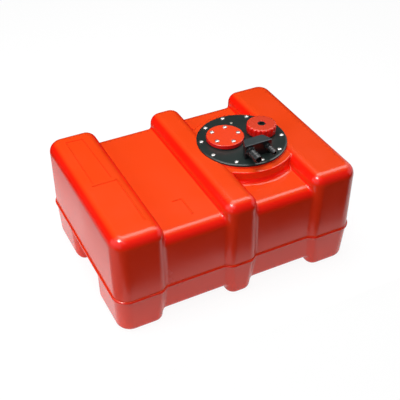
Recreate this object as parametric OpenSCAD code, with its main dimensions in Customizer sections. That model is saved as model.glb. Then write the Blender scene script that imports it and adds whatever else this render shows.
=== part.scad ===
// Inboard fuel tank: a ribbed, strapped-down moulded tank with a round hatch
// plate that carries the filler, the hose outlets and a blanked gauge port.
// +X runs along the tank, the hose tails point to -Y, and +Z is up.
// The origin is the middle of the ground plane.

/* [Tank] */
// Length over the two end walls, without the parting lip
tank_l = 500; // [440:5:700]
// Width over the rib faces, without the parting lip
tank_w = 358; // [330:2:480]
// Height from the ground to the rib tops
tank_h = 222; // [190:1:300]
// Height of the mould parting line
parting_z = 83; // [70:1:105]
// Wall thickness of the moulding
wall = 5; // [4:0.5:6]
// Radius of the long top edges
top_r = 18; // [12:1:20]
// Radius of the bottom edges
foot_r = 12; // [8:1:14]
// Upright radius of the four tank corners
corner_r = 28; // [22:1:34]
// How far the lower half draws in at each end and side
taper = 4; // [1:0.5:6]

/* [Ribs and strap bands] */
// Width of the left-hand end rib
left_rib_w = 99; // [88:1:112]
// Width of the middle rib
mid_rib_w = 66; // [56:1:80]
// Width of the right-hand end rib
right_rib_w = 98; // [85:1:108]
// Width of the strap band between the middle and the right-hand rib
band_w = 117; // [104:1:122]
// Depth of the strap bands in the front and back faces
band_depth = 9; // [7:0.5:13]
// Depth of the strap bands below the rib tops
band_drop = 27; // [21:1:32]
// Upright radius of the rib corners
rib_r = 18; // [14:1:20]
// How far the lower half of a rib draws in on the side of a band
rib_taper = 8; // [2:1:10]
// Height of the strap channels under the tank
channel_h = 17; // [15:1:24]
// Width of the lengthwise channel and of the notch in each end
gap_w = 98; // [80:1:120]
// How far the notch in each end runs in at its foot
notch_in = 36; // [30:1:50]

/* [Parting lip] */
// How far the lip stands out of the upper wall
lip_out = 2.5; // [1.5:0.5:4]
// Height of the lip
lip_h = 7; // [5:0.5:10]

/* [Hatch] */
// Radius of the round pad that the hatch plate sits on
pad_r = 102; // [98:1:106]
// Radius of the rounded edge of the pad
pad_edge_r = 4; // [2:0.5:6]
// Radius of the fillet at the foot of the pad
pad_foot_r = 8; // [6:0.5:10]
// Radius of the opening in the pad
hatch_r = 66; // [64:0.5:67]
// Thickness of the pad where the inserts are moulded in
pad_t = 15; // [14:0.5:18]
// Radius of the hatch plate
plate_r = 89; // [88:0.5:94]
// Thickness of the hatch plate
plate_t = 3.5; // [3.5:0.5:5]
// Radius of the rounded edge of the hatch plate
plate_edge_r = 1.6; // [1:0.1:2]
// Thickness of the hatch gasket
gasket_t = 1; // [1:0.5:3]
// Number of hatch screws
screw_n = 10; // [8:2:12]
// Angle of the first hatch screw from the tank's length
screw_angle = 18; // [14:1:22]
// Radius of the hatch screw circle
screw_circle_r = 80; // [79:0.5:82]
// Length of the threaded inserts in the pad
insert_l = 11; // [9:0.5:12]

/* [Screws] */
// Thread diameter of all the screws
screw_d = 5; // [4:0.5:5.5]
// Head diameter of all the screws
head_d = 8.6; // [8:0.1:9.4]
// Head height of all the screws
head_h = 2.8; // [2.4:0.1:3.4]
// Width across the flats of the screws' hexagon sockets
socket_af = 3; // [2.5:0.5:4]
// Outer diameter of the threaded inserts
insert_d = 7.4; // [7:0.1:8]

/* [Gauge port] */
// Direction of the gauge port from the middle of the plate
port_angle = 157; // [150:1:164]
// Radius of the five-screw circle of the gauge port
port_circle_r = 27; // [26:0.5:27.5]
// Angle of the port's first screw
port_screw_angle = 63; // [50:1:76]
// Radius of the opening for a gauge
port_bore_r = 20; // [18:0.5:21]
// Radius of the cover disc
cover_r = 38.5; // [37:0.5:40]
// Thickness of the cover disc
cover_t = 4.5; // [3:0.5:6]
// Height of the raised ring under the disc
port_h = 4.5; // [3:0.5:6]
// Thickness of the port gasket
port_gasket_t = 1; // [0.5:0.5:2]
// Length of the port's threaded inserts
port_insert_l = 8; // [7:0.5:9]

/* [Filler] */
// Direction of the filler from the middle of the plate
neck_angle = 6; // [0:1:9]
// Bore radius of the filler neck
neck_bore_r = 17.5; // [16.5:0.5:18]
// Wall thickness of the filler neck under its thread
neck_wall = 3; // [2.5:0.5:4]
// Height of the filler neck above the plate
neck_h = 14.5; // [13:0.5:18]
// Height of the neck's thread ridges
thread_depth = 1.2; // [0.8:0.1:1.6]
// Rise of the cap in one turn
thread_pitch = 4; // [3:0.5:4.5]
// Thickness of the cap's sealing ring
seal_t = 2; // [1.5:0.5:3]
// Outer radius of the filler cap
cap_r = 29.5; // [28:0.5:30.5]
// Thickness of the top of the cap
cap_top_t = 3.5; // [3:0.5:4.5]
// Gap between the cap's skirt and the plate
cap_gap = 2; // [1.5:0.5:4]
// Number of grip flutes round the cap
flute_n = 18; // [14:1:22]
// Depth of the grip flutes
flute_depth = 1.5; // [1:0.1:1.8]
// Width across the flats of the cap's hexagon socket
cap_af = 15; // [13:0.5:16]
// Depth of the cap's hexagon socket
cap_socket_depth = 7; // [6:0.5:8]
// Width across the flats of the socket in the cap's plug
plug_af = 10.5; // [8:0.5:11]
// Depth of the socket in the cap's plug
plug_socket_depth = 5; // [3:0.5:5]

/* [Outlet block] */
// Width of the outlet block
block_w = 70; // [64:1:74]
// Depth of the outlet block from its flat face to its back
block_depth = 23.5; // [22:0.5:27]
// Width of the outlet block across its back
block_back_w = 42; // [38:1:46]
// Height of the outlet block
block_h = 29; // [28:0.5:34]
// Upright radius of the block's corners
block_r = 6; // [5:0.5:7]
// Rounding of the block's top at its two ends
block_top_r = 3; // [2:0.5:4]
// Distance between the two hose tails
tail_pitch = 38; // [36:0.5:40]
// Height of the hose tails above the plate
tail_z = 17.5; // [16:0.5:18]
// Thickness of the block's gasket
block_gasket_t = 0.8; // [0.5:0.1:1.5]

/* [Hose tails] */
// Outer radius of the vent tail's plain stretch
vent_r = 7.8; // [7:0.1:8.4]
// Bore radius of the vent tail
vent_bore_r = 5.5; // [4.5:0.1:5.8]
// Width across the flats of the vent tail's hexagon
vent_af = 18; // [17:0.5:19]
// Outer radius of the fuel tail's plain stretch
fuel_r = 4.7; // [4.4:0.1:5.4]
// Bore radius of the fuel tail
fuel_bore_r = 3; // [2.5:0.1:3.4]
// Width across the flats of the fuel tail's hexagon
fuel_af = 12.5; // [12:0.5:14]
// Thickness of the tails' hexagons
hex_t = 5.5; // [5:0.5:8]
// Length of a tail's plain stretch
plain_l = 2.5; // [2:0.5:5]
// Number of barbs on a tail
barb_n = 3; // [2:1:4]
// Height of a barb above the plain stretch
barb_h = 1; // [0.6:0.1:1.4]
// Length of one barb of the vent tail
vent_barb_l = 8; // [6:0.5:9]
// Length of one barb of the fuel tail
fuel_barb_l = 6; // [5:0.5:7]
// Length of the flat land on the crest of a barb
barb_land = 1.2; // [0.8:0.1:1.6]
// Thickness of the tails' sealing rings
tail_seal_t = 1; // [0.6:0.1:1.5]

/* [Fuel pickup] */
// Outer radius of the pickup tube
tube_r = 4.5; // [4.2:0.1:4.8]
// Wall thickness of the pickup tube
tube_wall = 1; // [0.8:0.1:1.2]
// Gap between the strainer and the floor of the tank
strainer_gap = 5; // [3:0.5:10]
// Height of the strainer
strainer_h = 28; // [24:1:36]
// Outer radius of the strainer
strainer_r = 8.5; // [7:0.5:8.5]

/* [Bonding stud] */
// Thread diameter of the bonding stud
stud_d = 4; // [3:0.5:4.5]
// Place of the bonding stud across the plate
stud_y = 57; // [54:0.5:58]
// Place of the bonding stud along the plate
stud_x = 8; // [4:0.5:12]

/* [Hidden] */

// Smoothness of the round shapes
$fn = 64;
// Small overlap that keeps cuts clean
eps = 0.5;
// Radial play of a screw in its clearance hole
hole_play = 0.3;
// Radial play of threads and of tubes in their seats
fit_play = 0.05;

band_z = tank_h - band_drop;
half_l = tank_l / 2;
half_w = tank_w / 2;
notch_z = parting_z - lip_h;
// Where the ribs end: the first and the last rib's inner walls, and both walls
// of the middle one. The left-hand band takes up what is left of the length.
left_x = left_rib_w - half_l;
right_x = half_l - right_rib_w;
mid_x1 = right_x - band_w;
mid_x0 = mid_x1 - mid_rib_w;
// The hatch sits in the middle of the right-hand band
hatch_x = right_x - band_w / 2;
plate_z = tank_h + gasket_t;
deck_z = plate_z + plate_t;

// The pad is thickened out to this radius round its opening
pad_ring_r = screw_circle_r + insert_d / 2 + 4;

// The gauge port and the filler both reach to just inside the pad's opening
port_boss_r = port_circle_r + insert_d / 2 + 1.8;
port_pos = (hatch_r - port_boss_r - 0.6) * [cos(port_angle), sin(port_angle), 0];
port_top = deck_z + port_h;
cover_z = port_top + port_gasket_t;
neck_pos = (hatch_r - neck_bore_r - 1.5) * [cos(neck_angle), sin(neck_angle), 0];
neck_r = neck_bore_r + neck_wall;
thread_r = neck_r + thread_depth;
neck_top = deck_z + neck_h;
cap_under = neck_top + seal_t;
cap_bore_r = thread_r + 0.4;
cap_z = deck_z + cap_gap;
cap_top = cap_under + cap_top_t;
// The cap's middle well carries the hexagon socket
well_r = cap_af / 2 / cos(30) + 2.5;
plug_t = 3;

block_front = -(hatch_r - 1);
block_z = deck_z + block_gasket_t;
block_top = block_z + block_h;
gallery_y = block_front + 11;
tail_axis_z = deck_z + tail_z;
shank_l = 8;
shank_wall = 1.6;
block_screw_l = 14;
block_screws_at = [[-6.5, gallery_y - 4], [6.5, gallery_y - 4], [0, gallery_y + 7]];
floor_z = channel_h + wall;
strainer_z = floor_z + strainer_gap;
tube_end_z = strainer_z + strainer_h - 8;
tube_top_z = block_z + 8;

tank_red = [0.90, 0.19, 0.08];
cap_red = [0.80, 0.10, 0.08];
black = [0.06, 0.07, 0.07];
rubber = [0.10, 0.10, 0.10];
steel = [0.80, 0.80, 0.78];
brass = [0.80, 0.65, 0.30];

// What a corner of radius r leaves outside its circle. The circle's centre is c,
// and the two sides that it joins face the angles f0 and f1. The circle is a
// hair wide, so that it crosses the sides instead of only touching them.
module corner_waste(c, r, f0, f1) {
    p0 = (r + 2) * [cos(f0), sin(f0)];
    p1 = (r + 2) * [cos(f1), sin(f1)];
    translate(c) difference() {
        polygon([[0, 0], p0, p0 + p1, p1]);
        circle(r + 0.02);
    }
}

// Flat outline of a block from x0 to x1 and from z0 to z1. Its top corners have
// radius rt. Below the parting line its sides draw in by cut0 and cut1 at
// ground level, and run into bottom corners of radius rb.
module drafted_outline(x0, x1, z0, z1, cut0, cut1, rt, rb) {
    a0 = atan(cut0 / parting_z);
    a1 = atan(cut1 / parting_z);
    in0 = cut0 / parting_z;
    in1 = cut1 / parting_z;
    difference() {
        polygon([[x0, parting_z], [x0, z1], [x1, z1], [x1, parting_z],
                 [x1 - in1 * (parting_z - z0), z0], [x0 + in0 * (parting_z - z0), z0]]);
        corner_waste([x0 + rt, z1 - rt], rt, 90, 180);
        corner_waste([x1 - rt, z1 - rt], rt, 0, 90);
        corner_waste([x0 + in0 * (parting_z - z0 - rb) + rb / cos(a0), z0 + rb],
                     rb, 180 + a0, 270);
        corner_waste([x1 - in1 * (parting_z - z0 - rb) - rb / cos(a1), z0 + rb],
                     rb, 270, 360 - a1);
    }
}

// Flat plan of a block, with radius r0 at its x0 end and r1 at its x1 end
module rounded_plan(x0, x1, half, r0, r1) {
    difference() {
        translate([x0, -half]) square([x1 - x0, 2 * half]);
        corner_waste([x0 + r0, half - r0], r0, 90, 180);
        corner_waste([x0 + r0, r0 - half], r0, 180, 270);
        corner_waste([x1 - r1, half - r1], r1, 0, 90);
        corner_waste([x1 - r1, r1 - half], r1, 270, 360);
    }
}

// Stands a flat outline drawn in x and z up, and extrudes it across the tank
module across(width) {
    translate([0, width / 2, 0]) rotate([90, 0, 0]) linear_extrude(width) children();
}

// Stands a flat outline drawn in y and z up, and extrudes it along the tank
module along(x0, x1) {
    translate([x0, 0, 0]) rotate([90, 0, 90]) linear_extrude(x1 - x0) children();
}

// One rib of the tank, moved inwards by t on every face. Its plan has corner
// radii r0 and r1, and its lower half draws in by cut0 and cut1.
module rib(x0, x1, r0, r1, cut0, cut1, t) {
    intersection() {
        across(tank_w + 4)
            drafted_outline(x0 + t, x1 - t, t, tank_h - t, cut0, cut1, top_r - t, foot_r - t);
        translate([0, 0, -2]) linear_extrude(tank_h + 4)
            rounded_plan(x0 + t, x1 - t, half_w - t, r0 - t, r1 - t);
        along(x0 - 2, x1 + 2) difference() {
            drafted_outline(t - half_w, half_w - t, t, tank_h - t, taper, taper,
                            top_r - t, foot_r - t);
            foot_gap_outline(t);
        }
    }
}

// The lengthwise channel between the two rows of feet, widened by t
module foot_gap_outline(t) {
    half = gap_w / 2 + t;
    top = channel_h + t;
    difference() {
        translate([-half, -eps]) square([2 * half, top + eps]);
        corner_waste([foot_r - half, top - foot_r], foot_r, 90, 180);
        corner_waste([half - foot_r, top - foot_r], foot_r, 0, 90);
    }
}

// The body between the ribs, moved inwards by t on every face
module core(t) {
    along(left_x - left_rib_w / 2, right_x + right_rib_w / 2)
        drafted_outline(band_depth + t - half_w, half_w - band_depth - t, channel_h + t,
                        band_z - t, taper, taper, top_r - t, foot_r - t);
}

// Plan of the notch in the right-hand end, grown by t, with flared sides
module notch_plan(t) {
    half = gap_w / 2 + t;
    r = corner_r - t;
    translate([half_l - notch_in - t, -half]) square([notch_in + t + 20, 2 * half]);
    for (side = [0, 1]) mirror([0, side]) difference() {
        translate([half_l - corner_r, half - 2]) square([corner_r + 20, r + 2]);
        translate([half_l - corner_r, half + r]) circle(r);
    }
}

// The notch in the right-hand end, which slopes in from the lip to the channel
module end_notch(t) {
    intersection() {
        translate([0, 0, -eps]) linear_extrude(parting_z) notch_plan(t);
        across(tank_w)
            polygon([[half_l - notch_in - t, -2 * eps], [half_l - notch_in - t, channel_h],
                     [half_l - t, notch_z + t / 2], [half_l + 25, notch_z + t / 2],
                     [half_l + 25, -2 * eps]]);
    }
}

// The moulded body moved inwards by t: three ribs, the body between them, the
// channel under it and the notch in each end
module moulding(t) {
    difference() {
        union() {
            rib(-half_l, left_x, corner_r, rib_r, taper, rib_taper, t);
            rib(mid_x0, mid_x1, rib_r, rib_r, rib_taper, rib_taper, t);
            rib(right_x, half_l, rib_r, corner_r, rib_taper, taper, t);
            core(t);
        }
        end_notch(t);
        mirror([1, 0, 0]) end_notch(t);
    }
}

// The lip that the two mould halves leave all round the tank, with an eased
// edge above and below
module parting_lip() {
    ease = lip_out / 3;
    lip_layer(notch_z, lip_h, lip_out - ease);
    lip_layer(notch_z + ease, lip_h - 2 * ease, lip_out);
}

// A flat layer of the lip, which stands out of the upper wall by out
module lip_layer(z, h, out) {
    translate([0, 0, z]) linear_extrude(h) {
        rounded_plan(-half_l - out, left_x + out, half_w + out, corner_r, rib_r);
        rounded_plan(mid_x0 - out, mid_x1 + out, half_w + out, rib_r, rib_r);
        rounded_plan(right_x - out, half_l + out, half_w + out, rib_r, corner_r);
        square([tank_l - left_rib_w, tank_w - 2 * band_depth + 2 * out], center = true);
    }
}

// A disc with a rounded upper edge
module soft_disc(r, h, edge) {
    rotate_extrude() difference() {
        square([r, h]);
        corner_waste([r - edge, h - edge], edge, 0, 90);
    }
}

// The fillet that leads from the band's floor into the wall of the pad
module pad_foot() {
    rotate_extrude() difference() {
        translate([pad_r - wall, -wall / 2]) square([pad_foot_r + wall, pad_foot_r + wall / 2]);
        translate([pad_r + pad_foot_r, pad_foot_r]) circle(pad_foot_r + 0.02);
    }
}

// Repeats a piece on a circle in the plate's frame
module on_circle(n, r, first) {
    for (i = [0 : n - 1]) rotate([0, 0, first + i * 360 / n]) translate([r, 0, 0]) children();
}

module tank_shell() {
    color(tank_red) difference() {
        union() {
            difference() {
                union() {
                    moulding(0);
                    parting_lip();
                    translate([hatch_x, 0, band_z - wall])
                        soft_disc(pad_r, band_drop + wall, pad_edge_r);
                    translate([hatch_x, 0, band_z]) pad_foot();
                }
                moulding(wall);
                translate([hatch_x, 0, band_z - 3 * wall])
                    cylinder(r = pad_r - wall, h = band_drop + 2 * wall);
            }
            translate([hatch_x, 0, tank_h - pad_t])
                cylinder(r = pad_ring_r, h = pad_t - wall / 2);
        }
        translate([hatch_x, 0, tank_h - pad_t - eps]) cylinder(r = hatch_r, h = pad_t + 2 * eps);
        translate([hatch_x, 0, tank_h - insert_l])
            on_circle(screw_n, screw_circle_r, screw_angle)
                cylinder(d = insert_d, h = insert_l + eps);
    }
}

// Threaded insert with its open end at height zero
module insert(length) {
    translate([0, 0, -length]) difference() {
        cylinder(d = insert_d, h = length);
        translate([0, 0, 1]) cylinder(d = screw_d + 2 * fit_play, h = length);
    }
}

// Domed socket screw with the underside of its head at height zero
module screw(length) {
    difference() {
        union() {
            translate([0, 0, -length]) cylinder(d = screw_d, h = length + 0.1);
            intersection() {
                cylinder(d = head_d, h = head_h);
                translate([0, 0, head_h - head_d]) sphere(r = head_d);
            }
        }
        translate([0, 0, head_h - 1.6])
            cylinder(r = socket_af / 2 / cos(30), h = 2, $fn = 6);
    }
}

module hatch_inserts() {
    color(brass) translate([hatch_x, 0, tank_h])
        on_circle(screw_n, screw_circle_r, screw_angle) insert(insert_l);
}

module hatch_gasket() {
    color(rubber) translate([hatch_x, 0, tank_h]) difference() {
        cylinder(r = plate_r - 0.6, h = gasket_t);
        translate([0, 0, -eps]) cylinder(r = hatch_r, h = gasket_t + 2 * eps);
        translate([0, 0, -eps]) on_circle(screw_n, screw_circle_r, screw_angle)
            cylinder(r = screw_d / 2 + hole_play, h = gasket_t + 2 * eps);
    }
}

// The filler neck that rises from the plate, with its thread ridges
module filler_neck() {
    cylinder(r = neck_r, h = plate_t + neck_h);
    for (z = [neck_h - 2.5 : -thread_pitch : 4])
        translate([0, 0, plate_t + z]) rotate_extrude()
            polygon([[neck_r - eps, -1.5], [thread_r, -0.4], [thread_r, 0.4], [neck_r - eps, 1.5]]);
}

module hatch_plate() {
    color(black) translate([hatch_x, 0, plate_z]) difference() {
        union() {
            soft_disc(plate_r, plate_t, plate_edge_r);
            translate(port_pos) cylinder(r = cover_r - 1.5, h = plate_t + port_h);
            translate(port_pos) translate([0, 0, plate_t + port_h - port_insert_l - 1.5])
                cylinder(r = port_boss_r, h = port_insert_l);
            translate(neck_pos) filler_neck();
        }
        translate([0, 0, -eps]) on_circle(screw_n, screw_circle_r, screw_angle)
            cylinder(r = screw_d / 2 + hole_play, h = plate_t + 2 * eps);
        translate(port_pos) {
            translate([0, 0, -port_insert_l])
                cylinder(r = port_bore_r, h = 2 * port_insert_l + plate_t + port_h);
            translate([0, 0, plate_t + port_h - port_insert_l])
                on_circle(5, port_circle_r, port_screw_angle)
                    cylinder(d = insert_d, h = port_insert_l + eps);
        }
        translate(neck_pos) translate([0, 0, -eps])
            cylinder(r = neck_bore_r, h = plate_t + neck_h + 2 * eps);
        translate([-tail_pitch / 2, gallery_y, -eps])
            cylinder(r = vent_bore_r, h = plate_t + 2 * eps);
        translate([tail_pitch / 2, gallery_y, -eps])
            cylinder(r = tube_r + fit_play, h = plate_t + 2 * eps);
        for (p = block_screws_at) translate([p[0], p[1], -eps])
            cylinder(r = screw_d / 2 + hole_play, h = plate_t + 2 * eps);
        translate([stud_x, stud_y, -eps]) cylinder(r = stud_d / 2 + fit_play, h = plate_t + 2 * eps);
    }
}

module hatch_screws() {
    color(steel) translate([hatch_x, 0, deck_z])
        on_circle(screw_n, screw_circle_r, screw_angle)
            screw(plate_t + gasket_t + insert_l - 2);
}

module port_inserts() {
    color(brass) translate([hatch_x, 0, port_top]) translate(port_pos)
        on_circle(5, port_circle_r, port_screw_angle) insert(port_insert_l);
}

module port_gasket() {
    color(rubber) translate([hatch_x, 0, port_top]) translate(port_pos) difference() {
        cylinder(r = cover_r - 1.8, h = port_gasket_t);
        translate([0, 0, -eps]) cylinder(r = port_bore_r, h = port_gasket_t + 2 * eps);
        translate([0, 0, -eps]) on_circle(5, port_circle_r, port_screw_angle)
            cylinder(r = screw_d / 2 + hole_play, h = port_gasket_t + 2 * eps);
    }
}

module port_cover() {
    color(tank_red) translate([hatch_x, 0, cover_z]) translate(port_pos) difference() {
        soft_disc(cover_r, cover_t, cover_t / 3);
        translate([0, 0, -eps]) on_circle(5, port_circle_r, port_screw_angle)
            cylinder(r = screw_d / 2 + hole_play, h = cover_t + 2 * eps);
    }
}

module port_screws() {
    color(steel) translate([hatch_x, 0, cover_z + cover_t]) translate(port_pos)
        on_circle(5, port_circle_r, port_screw_angle)
            screw(cover_t + port_gasket_t + port_insert_l - 2);
}

module filler_cap() {
    skirt_h = cap_top - cap_z;
    color(cap_red) translate([hatch_x, 0, cap_z]) translate(neck_pos) difference() {
        union() {
            difference() {
                soft_disc(cap_r, skirt_h, 1.5);
                translate([0, 0, -eps]) cylinder(r = cap_bore_r, h = cap_under - cap_z + eps);
            }
            translate([0, 0, skirt_h - cap_socket_depth - plug_t])
                cylinder(r = well_r, h = cap_socket_depth + plug_t - 1);
        }
        translate([0, 0, skirt_h - cap_socket_depth])
            cylinder(r = cap_af / 2 / cos(30), h = cap_socket_depth + eps, $fn = 6);
        translate([0, 0, skirt_h - cap_socket_depth - plug_t - eps])
            cylinder(r = cap_af / 2 - 1, h = plug_t + 2 * eps);
        on_circle(flute_n, cap_r + flute_depth, 0)
            translate([0, 0, -eps]) cylinder(r = 2 * flute_depth, h = skirt_h - 1);
    }
}

// Hexagonal plug that fills the cap's socket to just below its top, with a
// round spigot in the hole under it and a smaller socket of its own
module cap_plug() {
    rim_z = plug_t + cap_socket_depth - 0.4;
    color(black) translate([hatch_x, 0, cap_top - cap_socket_depth - plug_t])
        translate(neck_pos) difference() {
            union() {
                cylinder(r = cap_af / 2 - 1, h = plug_t + eps);
                translate([0, 0, plug_t])
                    cylinder(r = cap_af / 2 / cos(30), h = rim_z - plug_t, $fn = 6);
            }
            translate([0, 0, rim_z - plug_socket_depth])
                cylinder(r = plug_af / 2 / cos(30), h = plug_socket_depth + eps, $fn = 6);
        }
}

module cap_seal() {
    color(rubber) translate([hatch_x, 0, neck_top]) translate(neck_pos) difference() {
        cylinder(r = cap_bore_r - 0.5, h = seal_t);
        translate([0, 0, -eps]) cylinder(r = neck_bore_r, h = seal_t + 2 * eps);
    }
}

// Plan of the outlet block, moved inwards by t, with slanted corners at the back
module block_plan(t) {
    difference() {
        translate([0, block_front + block_depth / 2])
            rounded_plan(t - block_w / 2, block_w / 2 - t, block_depth / 2 - t,
                         block_r - t, block_r - t);
        for (side = [0, 1]) mirror([side, 0])
            translate([block_back_w / 2 - t / 2, block_front + block_depth - t])
                rotate([0, 0, -45]) translate([-15, 0]) square([50, 20]);
    }
}

// Front view of the outlet block, rounded at the two top corners
module block_outline() {
    flat = block_w / 2 - block_top_r;
    difference() {
        translate([-block_w / 2, -eps]) square([block_w, block_h + eps]);
        corner_waste([-flat, block_h - block_top_r], block_top_r, 90, 180);
        corner_waste([flat, block_h - block_top_r], block_top_r, 0, 90);
    }
}

module outlet_block() {
    color(black) translate([hatch_x, 0, block_z]) difference() {
        intersection() {
            linear_extrude(block_h + eps) block_plan(0);
            translate([0, block_front + block_depth / 2, 0]) across(block_depth + 2)
                block_outline();
        }
        tail_gallery(-tail_pitch / 2, vent_bore_r);
        tail_gallery(tail_pitch / 2, fuel_bore_r);
        translate([tail_pitch / 2, gallery_y, -eps])
            cylinder(r = tube_r + fit_play, h = tube_top_z - block_z + eps);
        for (p = block_screws_at) translate([p[0], p[1], -eps])
            cylinder(r = screw_d / 2 + fit_play, h = block_screw_l - plate_t + eps);
    }
}

// The bore that takes a tail's thread, and the gallery down from it to the plate
module tail_gallery(x, bore_r) {
    z = tail_axis_z - block_z;
    translate([x, block_front + shank_l, z]) rotate([90, 0, 0])
        cylinder(r = bore_r + shank_wall + fit_play, h = shank_l + eps);
    translate([x, gallery_y + bore_r / 2, z]) rotate([90, 0, 0])
        cylinder(r = bore_r, h = gallery_y - block_front);
    translate([x, gallery_y, -eps]) cylinder(r = bore_r - 0.4, h = z + eps);
}

module block_gasket() {
    color(rubber) translate([hatch_x, 0, deck_z]) difference() {
        linear_extrude(block_gasket_t) block_plan(0.8);
        translate([-tail_pitch / 2, gallery_y, -eps]) cylinder(r = vent_bore_r, h = 3);
        translate([tail_pitch / 2, gallery_y, -eps]) cylinder(r = tube_r + hole_play, h = 3);
        for (p = block_screws_at) translate([p[0], p[1], -eps])
            cylinder(r = screw_d / 2 + hole_play, h = 3);
    }
}

module block_screws() {
    color(steel) translate([hatch_x, 0, plate_z])
        for (p = block_screws_at) translate([p[0], p[1], 0])
            mirror([0, 0, 1]) screw(block_screw_l);
}

// Hose tail along +Z: thread, hexagon, plain stretch and barbs, with its
// sealing face at height zero
module hose_tail(bore_r, af, r, barb_l) {
    barbs_z = tail_seal_t + hex_t + plain_l;
    tip_z = barbs_z + barb_n * barb_l;
    difference() {
        union() {
            translate([0, 0, 0.3 - shank_l])
                cylinder(r = bore_r + shank_wall, h = shank_l + tail_seal_t);
            translate([0, 0, tail_seal_t]) cylinder(r = af / 2 / cos(30), h = hex_t, $fn = 6);
            translate([0, 0, tail_seal_t]) cylinder(r = r, h = hex_t + plain_l);
            for (i = [0 : barb_n - 1]) translate([0, 0, barbs_z + i * barb_l]) {
                cylinder(r = r + barb_h, h = barb_land);
                translate([0, 0, barb_land])
                    cylinder(r1 = r + barb_h, r2 = r - 0.4, h = barb_l - barb_land);
            }
        }
        translate([0, 0, -shank_l]) cylinder(r = bore_r, h = shank_l + tip_z + eps);
    }
}

module vent_tail() {
    color(black) translate([hatch_x - tail_pitch / 2, block_front, tail_axis_z])
        rotate([90, 0, 0])
            hose_tail(vent_bore_r, vent_af, vent_r, vent_barb_l);
}

module fuel_tail() {
    color(black) translate([hatch_x + tail_pitch / 2, block_front, tail_axis_z])
        rotate([90, 0, 0])
            hose_tail(fuel_bore_r, fuel_af, fuel_r, fuel_barb_l);
}

// One tail's sealing ring, which lies between its hexagon and the block
module tail_seal(x, bore_r, af) {
    translate([x, block_front, tail_axis_z]) rotate([90, 0, 0]) difference() {
        cylinder(r = af / 2 - 0.3, h = tail_seal_t);
        translate([0, 0, -eps])
            cylinder(r = bore_r + shank_wall + fit_play, h = tail_seal_t + 2 * eps);
    }
}

module tail_seals() {
    color(rubber) translate([hatch_x, 0, 0]) {
        tail_seal(-tail_pitch / 2, vent_bore_r, vent_af);
        tail_seal(tail_pitch / 2, fuel_bore_r, fuel_af);
    }
}

module pickup_tube() {
    color(black) translate([hatch_x + tail_pitch / 2, gallery_y, tube_end_z]) difference() {
        cylinder(r = tube_r, h = tube_top_z - tube_end_z);
        translate([0, 0, -eps])
            cylinder(r = tube_r - tube_wall, h = tube_top_z - tube_end_z + 2 * eps);
    }
}

module pickup_strainer() {
    slot_n = 8;
    ring_t = 1.5;
    slot_h = strainer_h - 12;
    color(black) translate([hatch_x + tail_pitch / 2, gallery_y, strainer_z]) difference() {
        cylinder(r = strainer_r, h = strainer_h);
        translate([0, 0, ring_t]) cylinder(r = strainer_r - ring_t, h = slot_h + 1);
        translate([0, 0, ring_t]) cylinder(r = tube_r - tube_wall, h = strainer_h);
        translate([0, 0, strainer_h - 8]) cylinder(r = tube_r + fit_play, h = 8 + eps);
        on_circle(slot_n, strainer_r, 0)
            translate([0, 0, ring_t + slot_h / 2 + 0.5]) cube([6, 3, slot_h], center = true);
    }
}

module bonding_stud() {
    nut_t = stud_d * 0.8;
    color(brass) translate([hatch_x + stud_x, stud_y, 0]) {
        translate([0, 0, plate_z - nut_t - 3]) cylinder(d = stud_d, h = nut_t + 3 + plate_t + 0.1);
        translate([0, 0, deck_z]) soft_disc(stud_d * 0.7, 2, 1);
    }
}

module bonding_nut() {
    nut_t = stud_d * 0.8;
    color(brass) translate([hatch_x + stud_x, stud_y, plate_z - nut_t]) difference() {
        cylinder(r = stud_d, h = nut_t, $fn = 6);
        translate([0, 0, -eps]) cylinder(r = stud_d / 2 + fit_play, h = nut_t + 2 * eps);
    }
}

tank_shell();
hatch_inserts();
hatch_gasket();
hatch_plate();
hatch_screws();
port_inserts();
port_gasket();
port_cover();
port_screws();
filler_cap();
cap_seal();
cap_plug();
outlet_block();
block_gasket();
block_screws();
vent_tail();
fuel_tail();
tail_seals();
pickup_tube();
pickup_strainer();
bonding_stud();
bonding_nut();
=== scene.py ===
import math

import bmesh
import bpy
import numpy as np
from mathutils import Matrix, Vector


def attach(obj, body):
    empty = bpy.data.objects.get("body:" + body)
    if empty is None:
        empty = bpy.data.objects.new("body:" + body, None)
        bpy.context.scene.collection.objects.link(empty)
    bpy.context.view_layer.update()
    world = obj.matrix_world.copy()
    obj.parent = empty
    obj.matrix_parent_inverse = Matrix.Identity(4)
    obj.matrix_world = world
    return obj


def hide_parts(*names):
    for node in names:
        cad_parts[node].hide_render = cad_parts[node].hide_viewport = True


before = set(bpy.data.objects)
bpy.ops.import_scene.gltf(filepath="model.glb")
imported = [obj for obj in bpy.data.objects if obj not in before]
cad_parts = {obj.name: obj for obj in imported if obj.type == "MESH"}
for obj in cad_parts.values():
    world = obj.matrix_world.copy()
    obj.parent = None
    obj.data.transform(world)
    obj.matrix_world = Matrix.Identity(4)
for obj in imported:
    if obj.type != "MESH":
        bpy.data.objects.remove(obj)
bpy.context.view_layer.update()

# Camera.
# It stands in front of the tank and to the left, and looks down on it through a
# long lens, as in the photograph.
camera_yaw = math.radians(27.074)
camera_pitch = math.radians(38.587)
camera_roll = math.radians(0.225)
camera_place = (-0.56731, -1.11414, 1.10369)
ahead = Vector((math.sin(camera_yaw) * math.cos(camera_pitch),
                math.cos(camera_yaw) * math.cos(camera_pitch),
                -math.sin(camera_pitch)))
right = Vector((math.cos(camera_yaw), -math.sin(camera_yaw), 0))
upward = right.cross(ahead)
rolled_right = math.cos(camera_roll) * right + math.sin(camera_roll) * upward
rolled_up = math.cos(camera_roll) * upward - math.sin(camera_roll) * right
lens = bpy.data.cameras.new("camera")
lens.sensor_width = 36
lens.lens = 71.41
lens.clip_start = 0.05
camera = bpy.data.objects.new("camera", lens)
turn = Matrix((rolled_right, rolled_up, -ahead)).transposed().to_4x4()
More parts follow.
